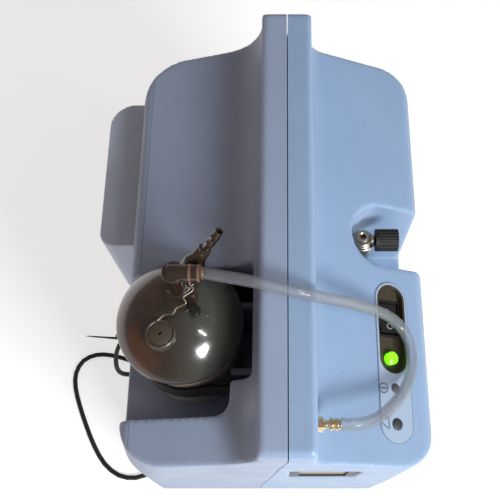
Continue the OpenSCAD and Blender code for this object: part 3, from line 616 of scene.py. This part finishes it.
def pill_outline(length, width, n=20):
    reach = (length - width) / 2
    return ([(reach + width / 2 * math.cos(a), width / 2 * math.sin(a))
             for a in (math.pi * (i / n - 0.5) for i in range(n + 1))]
            + [(-reach - width / 2 * math.cos(a), -width / 2 * math.sin(a))
               for a in (math.pi * (i / n - 0.5) for i in range(n + 1))])


def seam_slab():
    half = SEAM_GAP / 2
    there = [(y - half, z) for y, z in SEAM]
    back = [(y + half, z) for y, z in reversed(SEAM)]
    return prism("seam_tool", there + back, "x", -HALF_W - 20, HALF_W + 20)


def seam_y(z):
    for (y1, z1), (y2, z2) in zip(SEAM, SEAM[1:]):
        if z2 <= z <= z1:
            return y2 + (y1 - y2) * (z - z2) / (z1 - z2)
    return SEAM[0][0]


def make_body():
    """Both shells as one soft-edged moulding, parted along the seam."""
    body = prism("body_shells", rounded(SIDE_VIEW, 12), "x", -HALF_W - 20, HALF_W + 20)
    combine(body, prism("front_tool", rounded(FRONT_VIEW), "y", -350, 350), "INTERSECT")
    combine(body, prism("plan_tool", rounded(FRONT_PLAN, 12), "z", 0, SKY), "INTERSECT")
    for (y1, z1), (y2, z2) in ((SHOULDER, SHELF), (SHELF, (138, 50))):
        lean = math.atan2(y2 - y1, z1 - z2)
        tool = prism("back_tool", rounded(REAR_PLAN, 12), "z", -500, 500)
        place_on(tool, Matrix.Translation(mm(0, SHELF[0] + 0.3, SHELF[1]))
                 @ Matrix.Rotation(lean, 4, "X"))
        combine(body, tool, "INTERSECT")
    x, y, r = NOTCH
    notch = [(x + r * math.cos(a), y + r * math.sin(a))
             for a in (math.pi * i / 24 for i in range(25))]
    notch += [(x - r, -200), (x + r, -200)]
    combine(body, prism("notch_tool", notch, "z", NOTCH_Z, SKY), "DIFFERENCE")
    combine(body, prism("bay_tool", rounded(BAY_CORNERS), "z", SHELF[1], SKY), "DIFFERENCE")
    window = rounded([(WINDOW[0], WINDOW[2], 3), (WINDOW[1], WINDOW[2], 3),
                      (WINDOW[1], WINDOW[3], 3), (WINDOW[0], WINDOW[3], 3)])
    combine(body, prism("window_tool", window, "x", -HALF_W - 20, -HALF_W + 14), "DIFFERENCE")
    foot = rounded([(-165.5, -133.5, 26), (165.5, -133.5, 26), (165.5, 133.5, 32),
                    (-165.5, 133.5, 32)])
    combine(body, prism("foot_tool", foot, "z", 30, 64), "DIFFERENCE")
    for x in (-101, -44.5):
        combine(body, block("rib_tool", (x - 3, -4, SHELF[1] - 2), (x + 3, 19, 430)), "UNION")
    mould(body, 2.0, 5)
    for length, width, at in ((73.2, 25, -70.8), (7.5, 7.5, -118.8), (9.2, 9.2, -146.3)):
        depth = 24 if length > 20 else 14
        outline = pill_outline(length, width) if length > width else circle(0, 0, length / 2)
        tool = prism("panel_tool", outline, "z", -depth, 12)
        place_on(tool, panel_matrix(at))
        combine(body, tool, "DIFFERENCE", "MANIFOLD")
    combine(body, prism("outlet_tool", circle(-153, 500, 4.2, 32), "y", -60, -36), "DIFFERENCE",
            "MANIFOLD")
    combine(body, prism("gland_tool", circle(-30, 76, 8.1, 32), "y", 120, 150), "DIFFERENCE",
            "MANIFOLD")
    groove_y = 92.5
    groove_z = SHOULDER[1] + (SHOULDER[0] - groove_y) * 0.3
    combine(body, block("line_tool", (-HALF_W - 2, groove_y, groove_z - 0.7),
                        (HALF_W + 2, groove_y + 0.7, groove_z + 6)), "DIFFERENCE", "MANIFOLD")
    combine(body, seam_slab(), "DIFFERENCE", "MANIFOLD")
    mesh = body.data
    mesh.materials.clear()
    mesh.materials.append(shell_front)
    mesh.materials.append(shell_rear)
    for face in mesh.polygons:
        centre = face.center * 1000
        face.material_index = int(centre.y > seam_y(centre.z))
    smooth_by_angle(mesh)
    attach(body, ROOT)
    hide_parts("front_shell", "rear_shell")


def make_rear_cover():
    """Hollow duct cover on the back, open below."""
    plan = [(18, 92, 0), (166, 92, 0), (166, 142, 25), (18, 142, 13)]
    inner = [(21, 80, 0), (163, 80, 0), (163, 139, 22), (21, 139, 10)]
    cover = prism("duct_cover", rounded(plan, 10), "z", 90, 408)
    combine(cover, prism("cover_tool", rounded(inner, 10), "z", 60, 404.5), "DIFFERENCE")
    mould(cover, 1.5, 6)
    cover.data.materials.append(cover_plastic)
    smooth_by_angle(cover.data)
    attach(cover, ROOT)
    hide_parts("rear_cover")


# ---- Control panel ---------------------------------------------------------

def ribbon(name, points, width, x, mat, closed=False, height=0.12, lift=0.86, body=ROOT):
    """Printed line of the given width along points on the panel."""
    bm = bmesh.new()
    count = len(points)
    rows = []
    for i, p in enumerate(points):
        p = Vector(p)
        before = Vector(points[i - 1] if closed or i else points[i])
        after = Vector(points[(i + 1) % count] if closed or i < count - 1 else points[i])
        ahead = (after - before).normalized()
        side = Vector((-ahead.y, ahead.x)) * width / 2
        rows.append([bm.verts.new(mm(*(p + s * side), z)) for s, z in
                     ((-1, lift), (1, lift), (1, lift + height), (-1, lift + height))])
    spans = list(zip(rows, rows[1:])) + ([(rows[-1], rows[0])] if closed else [])
    for a, b in spans:
        for k in range(4):
            bm.faces.new((a[k], a[(k + 1) % 4], b[(k + 1) % 4], b[k]))
    if not closed:
        bm.faces.new(rows[0])
        bm.faces.new(rows[-1])
    obj = finish_bmesh(name, bm, mat, smooth=False)
    place_on(obj, panel_matrix(x))
    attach(obj, body)
    return obj


def make_panel_marks():
    ring = circle(0, 10.8, 3.7, 40)
    ribbon("stop_ring", ring, 0.55, -119.4, icon_ink, closed=True)
    ribbon("stop_bar", [(0, 8.2), (0, 13.4)], 0.7, -119.4, icon_ink)
    bell = rounded([(1.0, 15.4, 0.8), (-5.2, 7.4, 0.8), (4.2, 7.6, 0.8)], 5)
    ribbon("alarm_mark", bell, 0.6, -145.4, icon_ink, closed=True)
    bow = [(4.4 + 1.6 * math.sin(a), 10.4 + 1.9 * math.cos(a))
           for a in (math.pi * i / 10 for i in range(11))]
    ribbon("alarm_bow", bow, 0.5, -145.4, icon_ink)
    edge = pill_outline(129.2 - 0.8, 29 - 0.8)
    ribbon("plate_edge", edge, 0.5, -96.8, outline_ink, closed=True, height=0.06,
                   lift=0.80)


def make_rocker_marks():
    """A raised dash and ring on the rocker's two halves."""
    marks = {"rocker_dash": [(3.0, 0), (8.4, 0)], "rocker_ring": circle(-7, 0, 2.3, 24)}
    for name, points in marks.items():
        obj = ribbon(name, points, 0.7, 0, mark_white, closed=name.endswith("ring"),
                     height=0.2, lift=0, body="rocker")
        sign = 1 if name.endswith("dash") else -1
        half = Matrix.Translation(mm(0, 0, 3.45)) @ Matrix.Rotation(-sign * 0.0957, 4, "Y")
        place_on(obj, panel_matrix(0).inverted())
        place_on(obj, panel_matrix(-62) @ Matrix.Translation(mm(0, 0, -8))
                 @ Matrix.Rotation(math.radians(8), 4, "Y") @ half)


# ---- Bottle ----------------------------------------------------------------

JAR_R = 42.5
NECK_Z = 470
LID_R = 48.5
LID_RIM_Z = 482
LID_APEX_Z = 508
DOME_H = LID_APEX_Z - LID_RIM_Z
DOME_R = (LID_R ** 2 + DOME_H ** 2) / (2 * DOME_H)


def dome_profile(radius, steps, drop=0.0):
    """(radius, height) points from the rim's edge up to the apex."""
    reach = math.asin(radius / DOME_R)
    return [(DOME_R * math.sin(reach * (1 - i / steps)),
             LID_APEX_Z - DOME_R - drop + DOME_R * math.cos(reach * (1 - i / steps)))
            for i in range(steps + 1)]


def make_bottle():
    wall = [(0, 354), (38, 354), (41, 355), (42.3, 358), (JAR_R, 362), (JAR_R, NECK_Z - 8),
            (41.8, NECK_Z - 4), (41.8, NECK_Z), (40.4, NECK_Z), (40.2, 360), (38.5, 357.2),
            (0, 357)]
    bottle = lathe("bottle", wall, (*JAR, 0), cream)
    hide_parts("jar")
    skirt = [(40.3, NECK_Z + 11), (40.3, NECK_Z), (45.8, NECK_Z), (46.8, NECK_Z + 1),
             (46.8, NECK_Z + 7.4), (47.6, NECK_Z + 8), (48.3, NECK_Z + 8.8), (LID_R, NECK_Z + 10)]
    top = dome_profile(LID_R, 36)
    under = [(r, z - 3) for r, z in dome_profile(40.3, 20)]
    lid = lathe("dome_lid", skirt + top + under[::-1] + [(40.3, NECK_Z + 11)], (*JAR, 0),
                make_lid_material(), sides=128)
    bmesh_weld(lid)
    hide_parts("jar_lid")
    bead = [(JAR_R + 0.1, 465), (JAR_R + 2.2, 465.2), (JAR_R + 2.7, 466.4), (JAR_R + 2.7, 468.4),
            (JAR_R + 2.2, 469.6), (JAR_R + 0.1, 469.8), (JAR_R + 0.1, 465)]
    collar = lathe("neck_collar", bead, (*JAR, 0), pale_ring)
    bmesh_weld(collar)
    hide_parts("clamp_ring")


def bmesh_weld(obj):
    """Joins a turned piece's first and last ring, and drops its end caps."""
    bm = bmesh.new()
    bm.from_mesh(obj.data)
    caps = [f for f in bm.faces if len(f.verts) > 8]
    bmesh.ops.delete(bm, geom=caps, context="FACES_ONLY")
    bmesh.ops.remove_doubles(bm, verts=bm.verts, dist=1e-6)
    bmesh.ops.recalc_face_normals(bm, faces=bm.faces)
    bm.to_mesh(obj.data)
    bm.free()
    smooth_by_angle(obj.data)


def make_strap():
    """Hook-and-loop band round the bottle, with an uneven, frayed edge."""
    low, high, thick = 406, 440, 2.4
    inner_r = JAR_R + 0.3
    path = []
    ends = 38
    for i in range(9):
        t = i / 8
        path.append((JAR[0] - ends - 1.2 + (ends + 1.2 - inner_r - 1.2) * t, 1 + (JAR[1] - 1) * t))
    for i in range(1, 48):
        a = math.pi - math.pi * i / 48
        path.append((JAR[0] + (inner_r + 1.2) * math.cos(a), JAR[1] + (inner_r + 1.2) * math.sin(a)))
    for i in range(9):
        t = 1 - i / 8
        path.append((JAR[0] + ends + 1.2 - (ends + 1.2 - inner_r - 1.2) * t, 1 + (JAR[1] - 1) * t))
    rows = 14
    bm = bmesh.new()
    grid = []
    for i, (x, y) in enumerate(path):
        before, after = Vector(path[max(i - 1, 0)]), Vector(path[min(i + 1, len(path) - 1)])
        ahead = (after - before).normalized()
        side = Vector((-ahead.y, ahead.x)) * thick / 2
        top = high + random.uniform(-0.9, 0.3) + 0.8 * math.sin(i * 0.5)
        bottom = low + random.uniform(-0.3, 0.9)
        column = []
        for s in (1, -1):
            for k in range(rows + 1):
                z = bottom + (top - bottom) * (k if s > 0 else rows - k) / rows
                puff = random.uniform(0.75, 1.0) * (1 if s > 0 else 0.92)
                point = Vector((x, y)) + s * side * puff
                column.append(bm.verts.new(mm(point.x, point.y, z)))
        grid.append(column)
    around = len(grid[0])
    for a, b in zip(grid, grid[1:]):
        for k in range(around):
            j = (k + 1) % around
            bm.faces.new((a[k], a[j], b[j], b[k]))
    bm.faces.new(grid[0])
    bm.faces.new(grid[-1])
    strap = finish_bmesh("bottle_strap", bm, webbing)
    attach(strap, ROOT)
    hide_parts("jar_strap")


def make_strap_end():
    """Doubled-back end of the strap behind the bottle, with its stiff pull bristle."""
    fold = [(-84, 100.5, 423), (-79, 103.5, 423), (-74, 108.5, 423.5), (-70, 112.5, 424)]
    bm = bmesh.new()
    rows = []
    for i, (x, y, z) in enumerate(fold):
        half_h, half_t = (14.5, 1.6) if i < 2 else (11.0 - 2 * (i - 2), 2.4)
        ring = []
        for k in range(16):
            a = 2 * math.pi * k / 16
            ring.append(bm.verts.new(mm(x - half_t * 0.7 * math.cos(a) , y + half_t * math.cos(a),
                                        z + half_h * math.sin(a))))
        rows.append(ring)
    for a, b in zip(rows, rows[1:]):
        for k in range(16):
            j = (k + 1) % 16
            bm.faces.new((a[k], a[j], b[j], b[k]))
    bm.faces.new(rows[0])
    bm.faces.new(rows[-1])
    end = finish_bmesh("strap_end", bm, webbing)
    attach(end, ROOT)
    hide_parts("strap_tail")
    bristle = lathe("pull_bristle", [(0, 0), (1.1, 0), (1.0, 6), (0.7, 15), (0.75, 18),
                                     (0.35, 28), (0, 28.5)], (-72, 111, 424), black_plastic,
                    sides=12, axis=(0.05, 0.99, 0.10))


def rod(profile, base, axis, name, mat, sides=48):
    obj = lathe(name, profile, base, mat, sides=sides, axis=axis)
    return obj


def make_fittings():
    """Valve block, hose inlet, spigot, relief boss and clip on the lid."""
    block_body = prism("valve_body", circle(-62, 50, 12, 40), "z", 492, 509)
    combine(block_body, prism("t", circle(-47, 47, 9.5, 40), "z", 492, 512.5), "UNION")
    combine(block_body, prism("t", rounded([(-63, 41, 2), (-50, 39.5, 2), (-49, 55, 2),
                                            (-61, 60, 2)]), "z", 493, 510), "UNION")
    combine(block_body, prism("t", circle(-53, 53, 8.4, 40), "z", 500, 537.5), "UNION")
    neck = prism("t", circle(0, 0, 6.4, 32), "z", -2, 22)
    place_on(neck, Matrix.Translation(mm(-53, 55, 534)) @ Matrix.Rotation(math.pi / 2, 4, "X"))
    combine(block_body, neck, "UNION")
    mould(block_body, 0.8, 4)
    block_body.data.materials.append(smoke_brown)
    smooth_by_angle(block_body.data)
    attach(block_body, ROOT)
    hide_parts("valve_block")
    barb = [(0, 0), (6.0, 0), (6.0, 1), (5.2, 1.6), (5.2, 4.0), (6.6, 4.4), (6.6, 6.2), (5.6, 6.8),
            (5.6, 10.2), (6.9, 10.6), (6.9, 12.4), (5.6, 13), (4.5, 15), (0, 15)]
    nipple = rod(barb, (-53, 46.5, 534), (0, -1, 0), "inlet_barb", copper)
    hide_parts("inlet_nipple")
    a, b = math.radians(37), math.radians(29)
    lean = (math.sin(a) * math.sin(b), -math.sin(a) * math.cos(b), math.cos(a))
    stem = [(0, -4), (8.2, -4), (8.2, 16), (7.6, 19), (6.4, 21), (6.0, 23), (5.4, 24), (5.2, 31.5),
            (4.7, 32.4), (4.9, 33.4), (3.4, 34), (3.4, 41), (3.8, 41.6), (3.4, 44), (3.4, 48),
            (3.8, 48.6), (3.3, 51), (3.1, 55), (2.1, 55), (2.0, 30), (0, 30)]
    spigot = rod(stem, (-45.5, 48.4, 510.4), lean, "hose_spigot", smoke_brown)
    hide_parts("outlet_spigot")
    relief = [(0, 488), (11.2, 488), (11.4, 506.5), (10.9, 508.3), (9.8, 509.1), (9.3, 508.4),
              (8.7, 508.2), (8.3, 508.9), (6, 509.6), (1.4, 509.9), (1.1, 509.2), (1.1, 507),
              (0, 507)]
    boss = lathe("relief_boss", relief, (-90, 64, 0), relief_plastic, sides=64)
    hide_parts("relief_valve")
    clip = [(-53, 38, 523), (-57, 43, 523), (-61, 40, 521), (-66, 47, 520), (-70, 45, 518),
            (-73, 52, 516), (-77, 55, 514), (-77, 61, 512), (-81, 66, 511)]
    wire = tube("spring_clip", smooth_path(smooth_path(clip)), 0.8, dull_wire, sides=10)
    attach(wire, ROOT)
    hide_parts("wire_clip")


# ---- Flowmeter and outlet --------------------------------------------------


def make_flowmeter_head():
    """Plated head: stepped rings round the test port, and a side boss for the knob."""
    profile = [(0, 434), (10, 434), (10.2, 436), (10.2, 441), (9.8, 442.4), (9.2, 442.8),
               (9.2, 444.2), (8.7, 445), (7.9, 445.4), (7.7, 447.2), (6.9, 447.8), (6.3, 447.6),
               (5.8, 448.4), (5.6, 450.6), (5.0, 451.6), (3.4, 452), (2.5, 451.4), (2.2, 450.4),
               (2.2, 444.2), (0, 444)]
    low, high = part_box("flowmeter_head")
    centre = [500 * (low[0] + high[0]), 500 * (low[1] + high[1]), 0]
    head = lathe("meter_head", profile, centre, nickel, sides=64)
    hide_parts("flowmeter_head")
    collar = [(0, 5), (4.6, 5), (4.6, 9.6), (4.1, 10.2), (2.2, 10.2), (2.2, 8), (0, 8)]
    gland = lathe("stem_gland", collar, [centre[0], centre[1], 443], nickel, sides=32,
                  axis=(0, -1, 0))


CAD_MATERIALS = {
    "base_pan": pan_plastic, "base_screws": steel, "filter_frame": grey_plastic,
    "filter_foam": foam, "control_plate": panel_film, "switch_well": well_plastic,
    "switch_housing": black_gloss, "rocker": black_gloss, "reset_button": button_grey,
    "mute_button": button_dark, "flowmeter_tube": meter_clear, "flowmeter_float": red_float,
    "flowmeter_knob": black_plastic, "outlet_fitting": brass, "wing_lever": black_plastic,
    "dip_tube": white_plastic, "diffuser": white_plastic, "compressor_body": cast_alloy,
    "compressor_heads": cast_alloy, "compressor_mounts": rubber, "fan_rotor": pan_plastic,
    "fan_shroud": pan_plastic, "sieve_bed_front": white_plastic,
    "sieve_bed_middle": white_plastic, "product_tank": white_plastic,
    "valve_manifold": cast_alloy, "circuit_board": board_green, "cooling_coil": copper,
    "plug_pins": brass}
for corner in ("fl", "fr", "rl", "rr"):
    CAD_MATERIALS[f"caster_fork_{corner}"] = steel
    CAD_MATERIALS[f"caster_wheel_{corner}"] = tyre


def finish_cad_nodes():
    CAD_MATERIALS["power_lamp"] = make_lamp_material()
    for name, mat in CAD_MATERIALS.items():
        mesh = nodes[name].data
        mesh.materials.clear()
        mesh.materials.append(mat)
        mesh.shade_smooth()


# ---- Stage -----------------------------------------------------------------

def make_stage():
    mesh = bpy.data.meshes.new("floor")
    reach = 4.0
    mesh.from_pydata([(-reach, -reach, 0), (reach, -reach, 0), (reach, reach, 0),
                      (-reach, reach, 0)], [], [(0, 1, 2, 3)])
    floor_mat = material("floor_pale", (0.62, 0.62, 0.62), rough=0.8, vary=0.01, depth=0.00001)
    bsdf = floor_mat.node_tree.nodes["Principled BSDF"]
    bsdf.inputs["Emission Color"].default_value = (1, 1, 1, 1)
    bsdf.inputs["Emission Strength"].default_value = 0.62
    add_object("floor", mesh, floor_mat)


def area_light(name, direction, distance, width, height, power, colour, aim=(0, 0, 0.45)):
    data = bpy.data.lights.new(name, "AREA")
    data.shape = "RECTANGLE"
    data.size = width
    data.size_y = height
    data.energy = power
    data.color = colour
    light = bpy.data.objects.new(name, data)
    way = Vector(direction).normalized()
    light.location = Vector(aim) + way * distance
    light.rotation_euler = way.to_track_quat("Z", "Y").to_euler()
    bpy.context.scene.collection.objects.link(light)
    return light


def make_lights():
    area_light("key", (-0.66, -0.515, 0.55), 1.8, 0.55, 0.45, 34, (0.94, 0.97, 1.0))
    area_light("strip", (-0.29, -0.52, 0.81), 1.6, 0.05, 0.35, 3.0, (1.0, 1.0, 0.98))
    world = bpy.data.worlds.new("room")
    world.use_nodes = True
    tree = world.node_tree
    place = tree.nodes.new("ShaderNodeTexCoord")
    split = tree.nodes.new("ShaderNodeSeparateXYZ")
    link(tree, place.outputs["Generated"], split.inputs["Vector"])
    colour = mix_colours(tree, remap(tree, split.outputs["Y"], -0.5, 0.5, 0, 1),
                         (0.24, 0.24, 0.26, 1.0), (0.30, 0.23, 0.20, 1.0))
    link(tree, colour, tree.nodes["Background"].inputs["Color"])
    tree.nodes["Background"].inputs["Strength"].default_value = 1.0
    bpy.context.scene.world = world
    bpy.context.scene.view_settings.view_transform = "Standard"


make_camera()
gland_piece = make_gland()
plug_piece = make_plug()
make_gas_tube()
make_power_cord()
make_body()
make_rear_cover()
make_panel_marks()
make_rocker_marks()
make_bottle()
make_strap()
make_strap_end()
make_fittings()
make_flowmeter_head()
finish_cad_nodes()
make_stage()
make_lights()
